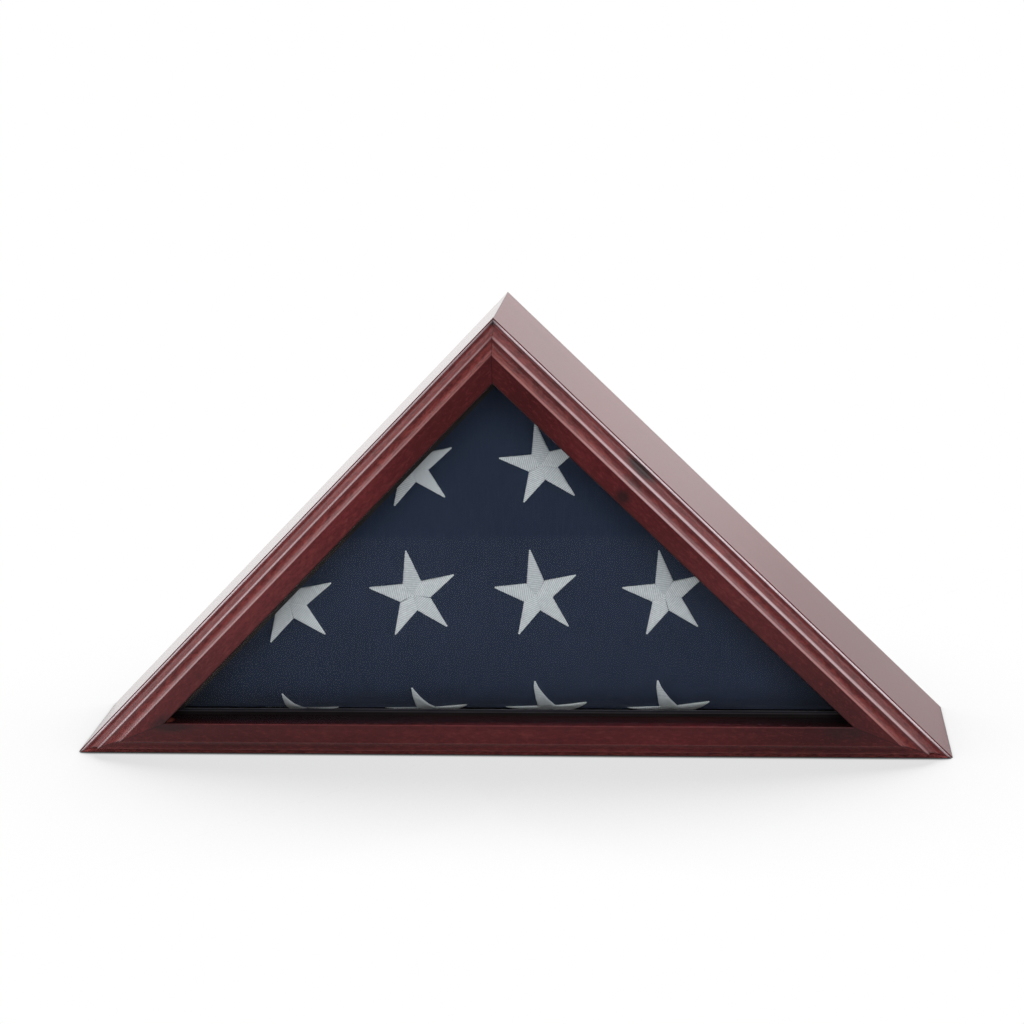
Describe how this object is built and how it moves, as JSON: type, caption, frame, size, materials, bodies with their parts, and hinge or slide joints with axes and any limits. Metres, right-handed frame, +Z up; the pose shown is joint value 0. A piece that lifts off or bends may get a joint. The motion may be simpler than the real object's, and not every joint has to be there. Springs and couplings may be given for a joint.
{
  "type": "folded flag display case",
  "caption": "Triangular cherry-finished wooden case with moulded front rails, a glass front and a lift-off back on turn buttons, holding a folded flag of white stars on navy.",
  "frame": {"origin": "centre of the case's footprint, on the underside of the bottom board", "axes": "+Z up to the peak, +X to the right seen from the front, -Y out of the glass front, +Y out of the back"},
  "size_m": [0.648, 0.1288, 0.3266],
  "materials": {
    "cherry_board": "glossy dark cherry lacquer",
    "cherry_rail": "glossy dark cherry lacquer",
    "biscuit_wood": "bare compressed beech",
    "nail_steel": "bright steel",
    "glass": "clear polished",
    "black_strip": "satin black stain",
    "flag_cloth": "navy woven cloth with white embroidered stars",
    "back_board": "dark brown hardboard, satin",
    "black_felt": "napped felt",
    "plated_steel": "nickel plated",
    "screw_steel": "zinc plated"
  },
  "bodies": {
    "case": {"left_side_board": "cherry_board", "right_side_board": "cherry_board", "bottom_board": "cherry_board", "left_front_rail": "cherry_rail", "right_front_rail": "cherry_rail", "bottom_front_rail": "cherry_rail", "corner_biscuits": "biscuit_wood", "frame_v_nails": "nail_steel", "glass_pane": "glass", "left_glass_stop": "black_strip", "right_glass_stop": "black_strip", "bottom_glass_stop": "black_strip", "stop_brads": "nail_steel", "folded_flag": "flag_cloth", "turn_button_screws": "screw_steel"},
    "back": {"back_panel": "back_board", "back_lining": "black_felt"},
    "button_right_lower": {"turn_button_right_lower": "plated_steel"},
    "button_right_upper": {"turn_button_right_upper": "plated_steel"},
    "button_left_upper": {"turn_button_left_upper": "plated_steel"},
    "button_left_lower": {"turn_button_left_lower": "plated_steel"},
    "button_base_left": {"turn_button_base_left": "plated_steel"},
    "button_base_right": {"turn_button_base_right": "plated_steel"}
  },
  "joints": [
    {"name": "back_lift_off", "type": "slide", "parent": "case", "child": "back", "axis": [0, 1, 0], "range_m": [0, 0.12]},
    {"name": "right_lower_button_turn", "type": "hinge", "parent": "case", "child": "button_right_lower", "pos_m": [0.23592, 0.0627, 0.08169], "axis": [0, -1, 0], "range_deg": [0, 90]},
    {"name": "right_upper_button_turn", "type": "hinge", "parent": "case", "child": "button_right_upper", "pos_m": [0.08098, 0.0627, 0.23787], "axis": [0, -1, 0], "range_deg": [0, 90]},
    {"name": "left_upper_button_turn", "type": "hinge", "parent": "case", "child": "button_left_upper", "pos_m": [-0.08098, 0.0627, 0.23787], "axis": [0, 1, 0], "range_deg": [0, 90]},
    {"name": "left_lower_button_turn", "type": "hinge", "parent": "case", "child": "button_left_lower", "pos_m": [-0.23592, 0.0627, 0.08169], "axis": [0, 1, 0], "range_deg": [0, 90]},
    {"name": "base_left_button_turn", "type": "hinge", "parent": "case", "child": "button_base_left", "pos_m": [-0.15, 0.0627, 0.005], "axis": [0, -1, 0], "range_deg": [0, 90]},
    {"name": "base_right_button_turn", "type": "hinge", "parent": "case", "child": "button_base_right", "pos_m": [0.15, 0.0627, 0.005], "axis": [0, 1, 0], "range_deg": [0, 90]}
  ]
}
